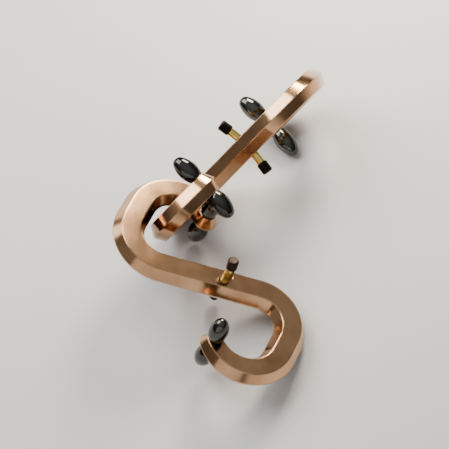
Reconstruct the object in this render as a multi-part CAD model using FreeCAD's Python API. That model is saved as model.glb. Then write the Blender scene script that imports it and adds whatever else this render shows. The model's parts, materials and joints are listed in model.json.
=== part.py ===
"""Disentanglement puzzle: two identical cast S-shaped "snakes" hooked through each other.

Each snake is a flat S bent from one thick bar with bevelled, ridged sides.  A bowed brass pin with dark
caps crosses the middle of the S, and a bowed crossbar with two dark bulbs crosses each end.
The two snakes share no fastening: one hook of snake B is closed round one hook of snake A.

Millimetres and degrees, +Z up.  The pair stands on Z = 0, centred on the origin.
"""
import FreeCAD, Part
import math
import os

from FreeCAD import Placement, Rotation, Vector

# ---- the bar that each S is bent from ----
BAR_WIDTH = 10.8       # in the plane of the S, over the ridges along its two sides
BAR_DEPTH = 7.4        # through the bar, between its two flat faces
FACE_WIDTH = 6.4       # each flat face, between the edges where the bevels begin
TIP_WIDTH = 8.4        # the same two widths at the ends, after the taper round the last bend
TIP_FACE_WIDTH = 5.0

# ---- the centreline of the S ----
BEND_RADIUS = 12.2     # both bends of each hook
DIAGONAL_HALF = 17.0   # half the straight bar between the hooks
DIAGONAL_SLANT = 17.0  # angle between that bar and the long axis of the S
BACK_LENGTH = 6.4      # straight stretch at the back of each hook
TIP_TURN = 137.0       # how far each hook bends on, from its back to its end

# ---- the three rods across each S ----
BOW_RADIUS = 40.0      # every rod is bowed to this radius
BOW_HEADING = 135.0    # direction, in the plane of the S, that the rod ends are swept to
PIN_RADIUS = 1.45
PIN_ALONG = 5.5        # from the middle of the S, along the straight bar
PIN_ASIDE = 1.5        # and off the middle line of that bar, towards the head
PIN_REACH = 10.2       # half the length of the brass pin, along its bow
CAP_RADIUS = 1.85
CAP_LENGTH = 4.0
CAP_EDGE = 0.6
CAP_SOCKET = 2.8       # how deep the pin sits in its cap
ROD_RADIUS = 1.6
BULB_SOCKET = 6.0      # how deep a crossbar rod sits in its bulb

# ---- the bulbs on the crossbars ----
BULB_RADIUS = 3.25
BULB_BARREL = 9.0      # radius of the barrel curve down a bulb's side
BULB_NECK_ANGLE = 26.0 # where that curve starts, below the widest place
BULB_DOME_ANGLE = 30.0 # where it hands over to the domed end, above it

# ---- how the two snakes lie: yaw, pitch and roll of each S, and its middle ----
SNAKE_A_ATTITUDE = (-40.532, 20.720, -14.921)
SNAKE_A_MIDDLE = (-14.494, -14.137, 15.336)
SNAKE_B_ATTITUDE = (19.740, -25.622, 118.713)
SNAKE_B_MIDDLE = (6.149, 27.400, 19.139)

ORIGIN = Vector(0, 0, 0)
ACROSS = Vector(0, 0, 1)   # square to the plane of an S


def heading(angle):
    """Unit vector in the plane of the S."""
    return Vector(math.cos(math.radians(angle)), math.sin(math.radians(angle)), 0)


def section(width, face_width, sides):
    """The bar's section in XY: from its middle line out to the ridged side on the right, the left or both."""
    edge = face_width / 2
    face = BAR_DEPTH / 2
    outline = []
    for side in sides:
        top = Vector(side * edge, face, 0)
        ridge = Vector(side * width / 2, 0, 0)
        bottom = Vector(side * edge, -face, 0)
        outline += [Part.makeLine(Vector(0, face, 0), top),
                    Part.makeLine(top, ridge),
                    Part.makeLine(ridge, bottom),
                    Part.makeLine(bottom, Vector(0, -face, 0))]
    if len(sides) == 1:
        outline.append(Part.makeLine(Vector(0, -face, 0), Vector(0, face, 0)))
    return Part.Wire(Part.__sortEdges__(outline))


def standing(outline, point, direction):
    """Sets a flat section square to the bar at that point."""
    outline.Placement = Placement(point, Rotation(direction.cross(ACROSS), ACROSS, direction, "ZXY"))
    return outline


def full_section(point, direction):
    return standing(section(BAR_WIDTH, FACE_WIDTH, sides=(1, -1)), point, direction)


def tip_section(point, direction, sides=(1, -1)):
    return standing(section(TIP_WIDTH, TIP_FACE_WIDTH, sides), point, direction)


def after_bend(point, direction, turn):
    """Where the centreline is after it bends right by so many degrees: (centre, end point, direction)."""
    centre = point + direction.cross(ACROSS) * BEND_RADIUS
    turning = Rotation(ACROSS, -turn)
    return centre, centre + turning.multVec(point - centre), turning.multVec(direction)


def bend(point, direction, turn):
    """The bar bent right through so many degrees: (solid, end point, end direction)."""
    centre, end, new_direction = after_bend(point, direction, turn)
    face = Part.Face(full_section(point, direction))
    return face.revolve(centre, ACROSS, -turn), end, new_direction


def tapering_bend(point, direction, turn):
    """The last bend of a hook, where the bar thins towards its end: (solid, end point, end direction)."""
    centre, end, new_direction = after_bend(point, direction, turn)
    halfway = after_bend(point, direction, turn / 2)[1]
    sweep = Part.BRepOffsetAPI.MakePipeShell(Part.Wire(Part.Arc(point, halfway, end).toShape()))
    sweep.setBiNormalMode(ACROSS)
    sweep.add(full_section(point, direction))
    sweep.add(tip_section(end, new_direction))
    sweep.build()
    sweep.makeSolid()
    return sweep.shape(), end, new_direction


def straight(point, direction, length):
    """A straight stretch of the bar: (solid, end point)."""
    run = direction * length
    return Part.Face(full_section(point, direction)).extrude(run), point + run


def eye(end, direction):
    """Rounded end of the bar: half its section spun about the crossbar's axis."""
    return Part.Face(tip_section(end, direction, sides=(1,))).revolve(end, ACROSS, 360)


def hook():
    """Half of the S, from its middle round to the end of one hook: (solid, end point)."""
    direction = heading(180 + DIAGONAL_SLANT)
    diagonal, first_start = straight(ORIGIN, direction, DIAGONAL_HALF)
    first_bend, back_start, up = bend(first_start, direction, 90 + DIAGONAL_SLANT)
    back, back_end = straight(back_start, up, BACK_LENGTH)
    last_bend, end, last_direction = tapering_bend(back_end, up, TIP_TURN)
    return diagonal.multiFuse([first_bend, back, last_bend, eye(end, last_direction)]), end


HALF_TURN = Placement(ORIGIN, Rotation(ACROSS, 180))


def bowed_rod(foot, radius, reach):
    """Round rod through foot, square to the S in its middle, its two ends swept back by the bow."""
    sweep_back = heading(BOW_HEADING)
    centre = foot + sweep_back * BOW_RADIUS
    turn = math.degrees(reach / BOW_RADIUS)
    axis = sweep_back.cross(ACROSS)
    circle = Part.Wire(Part.makeCircle(radius, foot, ACROSS))
    disc = Part.Face(circle)
    front = disc.revolve(centre, axis, turn)
    back = disc.revolve(centre, axis, -turn)
    return front.fuse(back).removeSplitter()


def on_bow(shape, foot, distance, side):
    """Sets a turned piece, made along +Z from the origin, on a rod at that distance from its foot."""
    sweep_back = heading(BOW_HEADING)
    turn = math.degrees(distance / BOW_RADIUS)
    axis = sweep_back.cross(ACROSS)
    piece = shape.copy()
    piece.Placement = Placement(foot, Rotation())
    piece.rotate(foot + sweep_back * BOW_RADIUS, axis, -turn)
    if side < 0:
        piece = piece.mirror(foot, ACROSS)
    return piece


def bulb_blank():
    """Teardrop bulb along +Z: a barrel curve that swells from the neck, then a dome."""
    neck = math.radians(BULB_NECK_ANGLE)
    dome = math.radians(BULB_DOME_ANGLE)
    widest = BULB_BARREL * math.sin(neck)
    inner = BULB_RADIUS - BULB_BARREL

    def on_barrel(angle):
        return Vector(inner + BULB_BARREL * math.cos(angle), 0, widest + BULB_BARREL * math.sin(angle))

    dome_offset = -inner / math.cos(dome)
    dome_radius = BULB_BARREL - dome_offset
    dome_centre = Vector(0, 0, widest + dome_offset * math.sin(dome))
    middle_angle = (dome + math.pi / 2) / 2
    dome_middle = dome_centre + Vector(math.cos(middle_angle), 0, math.sin(middle_angle)) * dome_radius
    tip = dome_centre + Vector(0, 0, dome_radius)
    side = Part.Arc(on_barrel(-neck), on_barrel(0), on_barrel(dome)).toShape()
    end = Part.Arc(on_barrel(dome), dome_middle, tip).toShape()
    axis = Part.makeLine(tip, ORIGIN)
    foot = Part.makeLine(ORIGIN, on_barrel(-neck))
    return Part.Face(Part.Wire([side, end, axis, foot])).revolve(ORIGIN, ACROSS, 360)


def cap_blank():
    """Short dark cap along +Z with soft rims."""
    cap = Part.makeCylinder(CAP_RADIUS, CAP_LENGTH)
    rims = [edge for edge in cap.Edges if isinstance(edge.Curve, Part.Circle)]
    return cap.makeFillet(CAP_EDGE, rims)


def cross_rod(foot, radius, reach, end_piece, seat, names):
    """A bowed rod with an end piece on each side: {name: solid}."""
    rod = bowed_rod(foot, radius, reach)
    rod_name, front_name, back_name = names
    return {
        rod_name: rod,
        front_name: on_bow(end_piece, foot, seat, 1).cut(rod),
        back_name: on_bow(end_piece, foot, seat, -1).cut(rod),
    }


def snake():
    """One complete snake, flat in the XY plane with its middle at the origin: {name: solid}."""
    head_hook, end = hook()
    tail_hook = head_hook.copy()
    tail_hook.Placement = HALF_TURN
    other_end = HALF_TURN.multVec(end)
    face = BAR_DEPTH / 2
    pin_foot = heading(DIAGONAL_SLANT) * PIN_ALONG + heading(DIAGONAL_SLANT + 90) * PIN_ASIDE
    pieces = {}
    pieces.update(cross_rod(pin_foot, PIN_RADIUS, PIN_REACH, cap_blank(), PIN_REACH - CAP_SOCKET,
                            ("pin", "pin_cap_front", "pin_cap_back")))
    for place, foot in (("head", end), ("tail", other_end)):
        pieces.update(cross_rod(foot, ROD_RADIUS, face + BULB_SOCKET, bulb_blank(), face,
                                (place + "_rod", place + "_bulb_front", place + "_bulb_back")))
    body = head_hook.fuse(tail_hook)
    for rod in ("pin", "head_rod", "tail_rod"):
        body = body.cut(pieces[rod])
    for bulb in [name for name in pieces if "bulb" in name]:
        pieces[bulb] = pieces[bulb].cut(body)
    pieces["body"] = body
    return pieces


def attitude(angles, middle):
    return Placement(Vector(*middle), Rotation(*angles))


def main():
    pieces = snake()
    placed = {}
    for letter, placement in (("a", attitude(SNAKE_A_ATTITUDE, SNAKE_A_MIDDLE)),
                              ("b", attitude(SNAKE_B_ATTITUDE, SNAKE_B_MIDDLE))):
        for name, solid in pieces.items():
            node = solid.copy()
            node.Placement = placement.multiply(node.Placement)
            placed["snake_" + letter + "_" + name] = node
    os.makedirs("parts", exist_ok=True)
    for name, node in placed.items():
        node.exportStep("parts/" + name + ".step")


main()
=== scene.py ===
"""Two S-shaped cast-metal snakes hooked through each other: studio scene, metres."""
import json
from math import radians

import bpy
from mathutils import Matrix, Vector


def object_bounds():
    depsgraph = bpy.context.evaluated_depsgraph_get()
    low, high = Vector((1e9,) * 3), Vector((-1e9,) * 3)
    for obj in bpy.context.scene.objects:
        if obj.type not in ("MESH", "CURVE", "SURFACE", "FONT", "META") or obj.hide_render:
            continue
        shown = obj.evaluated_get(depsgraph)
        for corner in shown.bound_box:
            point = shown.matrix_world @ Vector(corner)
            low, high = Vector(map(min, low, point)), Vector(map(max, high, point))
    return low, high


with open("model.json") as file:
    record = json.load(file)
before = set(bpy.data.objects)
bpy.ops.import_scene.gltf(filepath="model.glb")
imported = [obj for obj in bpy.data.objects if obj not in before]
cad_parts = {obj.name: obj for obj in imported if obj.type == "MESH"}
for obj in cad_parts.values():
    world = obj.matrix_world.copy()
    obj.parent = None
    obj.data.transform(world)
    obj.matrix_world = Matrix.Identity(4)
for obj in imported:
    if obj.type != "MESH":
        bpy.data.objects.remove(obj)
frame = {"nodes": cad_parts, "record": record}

CAD_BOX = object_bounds()
LOW, HIGH = (Vector(corner) for corner in CAD_BOX)
MIDDLE = (LOW + HIGH) / 2

# ---- camera: a long lens that looks down on the lying pair ----
CAMERA_ELEVATION = 59.8             # degrees above the floor
CAMERA_ROLL = 15.5                  # degrees about the line of sight
CAMERA_DISTANCE = 0.90
CAMERA_ACROSS = 0.148               # width of the view at the object
CAMERA_AIM = (-0.0050, 0.0010)      # right and up from the middle of the object, in the view
CAMERA_NEAR = 0.05                  # nearest distance drawn
SENSOR_WIDTH = 36.0                 # millimetres

# ---- metals: (darkest tone, lightest tone) ----
COPPER_TONES = ((0.50, 0.27, 0.138), (0.67, 0.395, 0.215))
BRASS_TONES = ((0.84, 0.66, 0.17), (0.98, 0.83, 0.33))
GUNMETAL_TONES = ((0.042, 0.042, 0.038), (0.115, 0.117, 0.106))
CAP_TONES = ((0.014, 0.010, 0.008), (0.034, 0.023, 0.018))
PATINA_AND_PAINTED_SHADE = (0.22, 0.19, 0.17)         # patina and painted shade: what is left of the tone in the deepest recesses and where other metal is near
PATINA_AND_SHADE_REACH = 0.009                # how near other metal has to be to darken the tone with patina and painted shade
BAR_EDGE = 0.0007                   # radius of the worn edges of the S bars
FINE_EDGE = 0.00025                 # radius of the worn edges of pins, caps, rods and bulbs
HAIRLINE_STRENGTH = 0.02
HAIRLINE_DEPTH = 0.0002

# ---- floor ----
FLOOR_HALF = 4.0
FLOOR_GAP = 0.0002                  # the floor lies this far under the lowest points of the snakes
FLOOR_TONES = ((0.66, 0.65, 0.64), (0.71, 0.70, 0.69))

# ---- light: the room's tone by height, from the horizon (0) to overhead (1) ----
ROOM_TONES = [(0.0, (0.10, 0.095, 0.092)), (0.22, (0.12, 0.113, 0.11)),
              (0.55, (0.27, 0.26, 0.25)), (1.0, (0.60, 0.60, 0.60))]
WHITE = (1.0, 1.0, 1.0)
WARM_WHITE = (1.0, 0.92, 0.76)


# ---- nodes ----
def node_material(name):
    """A node material with its Principled shader: (material, tree, shader)."""
    material = bpy.data.materials.new(name)
    material.use_nodes = True
    tree = material.node_tree
    return material, tree, tree.nodes["Principled BSDF"]


def add(tree, kind, settings=None, **links):
    """Adds a node, sets its properties, and links or fills the inputs named."""
    node = tree.nodes.new(kind)
    for key, value in (settings or {}).items():
        setattr(node, key, value)
    for key, value in links.items():
        socket = node.inputs[key.replace("_", " ")]
        if isinstance(value, bpy.types.NodeSocket):
            tree.links.new(value, socket)
        else:
            socket.default_value = value
    return node


def noise(tree, place, scale, detail=3.0, stretch=(1, 1, 1)):
    """Fractal noise over the piece, finer for a larger scale."""
    spot = add(tree, "ShaderNodeMapping", Vector=place, Scale=stretch).outputs[0]
    return add(tree, "ShaderNodeTexNoise", Vector=spot, Scale=scale, Detail=detail).outputs[0]


def ramp(tree, value, stops):
    """Colour ramp over a value: stops are (position, colour)."""
    node = add(tree, "ShaderNodeValToRGB", Fac=value)
    elements = node.color_ramp.elements
    while len(elements) < len(stops):
        elements.new(0.5)
    for element, (position, colour) in zip(elements, stops):
        element.position = position
        element.color = (*colour, 1)
    return node.outputs[0]


def between(tree, value, low, high):
    """Maps 0..1 to low..high."""
    return add(tree, "ShaderNodeMapRange", Value=value, To_Min=low, To_Max=high).outputs[0]


# ---- metals ----
def aged_and_shaded_tone(tree, place, tones):
    """Tone that drifts slowly over the piece and darkens in recesses and near other metal: partly
    patina, partly painted shade.
    """
    dark, light = tones
    tone = ramp(tree, noise(tree, place, 90.0), [(0.34, dark), (0.66, light)])
    # painted shade: ambient occlusion darkens the tone in recesses and between parts, on top of the
    # patina of the antique finish
    recess = add(tree, "ShaderNodeAmbientOcclusion", {"samples": 8}, Distance=PATINA_AND_SHADE_REACH).outputs["AO"]
    patina_and_shade = ramp(tree, recess, [(0.30, PATINA_AND_PAINTED_SHADE), (0.85, WHITE)])
    aged_and_shaded = add(tree, "ShaderNodeMixRGB", {"blend_type": "MULTIPLY"}, Fac=1.0, Color1=tone, Color2=patina_and_shade)
    return aged_and_shaded.outputs[0]


def worn_surface(tree, place, edge):
    """Normal with softened edges and fine polishing hairlines."""
    hairlines = noise(tree, place, 2600.0, detail=2.0, stretch=(1, 0.06, 0.4))
    rounded = add(tree, "ShaderNodeBevel", {"samples": 6}, Radius=edge).outputs[0]
    bump = add(tree, "ShaderNodeBump", Strength=HAIRLINE_STRENGTH, Distance=HAIRLINE_DEPTH,
               Height=hairlines, Normal=rounded)
    return bump.outputs[0]


def polished_metal(name, tones, roughness, edge=FINE_EDGE):
    """Plated and polished metal with aged tone, patina and painted shade in recesses, uneven gloss,
    hairlines and worn edges.
    """
    material, tree, shader = node_material(name)
    place = add(tree, "ShaderNodeTexCoord").outputs["Object"]
    shader.inputs["Metallic"].default_value = 1.0
    tree.links.new(aged_and_shaded_tone(tree, place, tones), shader.inputs["Base Color"])
    smear = noise(tree, place, 260.0, stretch=(1, 0.35, 0.6))
    gloss = between(tree, smear, roughness * 0.7, roughness * 1.5)
    tree.links.new(gloss, shader.inputs["Roughness"])
    tree.links.new(worn_surface(tree, place, edge), shader.inputs["Normal"])
    return material


def dress_snakes():
    """Gives every piece the metal of its slot, and the pin caps their own darker one."""
    metals = {
        "antique_copper": polished_metal("antique_copper", COPPER_TONES, 0.125, BAR_EDGE),
        "brass": polished_metal("brass", BRASS_TONES, 0.15),
        "gunmetal": polished_metal("gunmetal", GUNMETAL_TONES, 0.09),
    }
    cap_metal = polished_metal("cap_metal", CAP_TONES, 0.34)
    for part in frame["record"]["subparts"]:
        node = frame["nodes"][part["node"]]
        node.data.materials.clear()
        node.data.materials.append(cap_metal if "_cap_" in node.name else metals[part["material_slot"]])


# ---- studio ----
def link(obj):
    bpy.context.scene.collection.objects.link(obj)
    return obj


def floor():
    """Pale studio floor, much wider than the view."""
    mesh = bpy.data.meshes.new("studio_floor")
    corners = [(-1, -1), (1, -1), (1, 1), (-1, 1)]
    mesh.from_pydata([(x * FLOOR_HALF, y * FLOOR_HALF, 0) for x, y in corners], [], [(0, 1, 2, 3)])
    material, tree, shader = node_material("studio_floor")
    place = add(tree, "ShaderNodeTexCoord").outputs["Object"]
    dark, light = FLOOR_TONES
    tone = ramp(tree, noise(tree, place, 6.0), [(0.3, dark), (0.7, light)])
    tree.links.new(tone, shader.inputs["Base Color"])
    shader.inputs["Roughness"].default_value = 0.6
    mesh.materials.append(material)
    sheet = link(bpy.data.objects.new("studio_floor", mesh))
    sheet.location.z = LOW.z - FLOOR_GAP


def room():
    """Dim room that is darkest at the horizon and palest overhead."""
    world = bpy.data.worlds.new("studio")
    bpy.context.scene.world = world
    world.use_nodes = True
    tree = world.node_tree
    direction = add(tree, "ShaderNodeTexCoord").outputs["Generated"]
    height = add(tree, "ShaderNodeSeparateXYZ", Vector=direction).outputs["Z"]
    tree.links.new(ramp(tree, height, ROOM_TONES), tree.nodes["Background"].inputs["Color"])


def softbox(name, direction, distance, size, power, colour=WHITE):
    """Rectangular soft light that faces the object."""
    data = bpy.data.lights.new(name, "AREA")
    data.shape = "RECTANGLE"
    data.size, data.size_y = size
    data.energy = power
    data.color = colour
    lamp = link(bpy.data.objects.new(name, data))
    away = Vector(direction).normalized()
    lamp.location = MIDDLE + away * distance
    lamp.rotation_euler = away.to_track_quat("Z", "Y").to_euler()


def studio():
    """The key lights the whole pair, the gleam makes the highlight on the lower snake's ring."""
    room()
    softbox("key", (-0.50, 0.70, 1.0), 0.60, (0.52, 0.42), 4.9)
    softbox("gleam", (0.425, 0.722, 0.547), 0.255, (0.085, 0.09), 1.0, WARM_WHITE)
    softbox("front", (-0.45, -0.85, 0.30), 0.6, (0.8, 0.3), 0.6)
    softbox("left", (-0.70, 0.70, 0.20), 0.6, (0.34, 0.12), 0.35)


def camera():
    """Camera that faces the middle of the object, tilted down and rolled."""
    data = bpy.data.cameras.new("camera")
    data.sensor_width = SENSOR_WIDTH
    data.lens = SENSOR_WIDTH * CAMERA_DISTANCE / CAMERA_ACROSS
    data.clip_start = CAMERA_NEAR
    body = link(bpy.data.objects.new("camera", data))
    tilt = Matrix.Rotation(radians(90 - CAMERA_ELEVATION), 3, "X")
    turn = tilt @ Matrix.Rotation(radians(-CAMERA_ROLL), 3, "Z")
    aim = MIDDLE + turn @ Vector((*CAMERA_AIM, 0))
    body.matrix_world = Matrix.Translation(aim + turn @ Vector((0, 0, CAMERA_DISTANCE))) @ turn.to_4x4()
    bpy.context.scene.camera = body


dress_snakes()
floor()
studio()
camera()
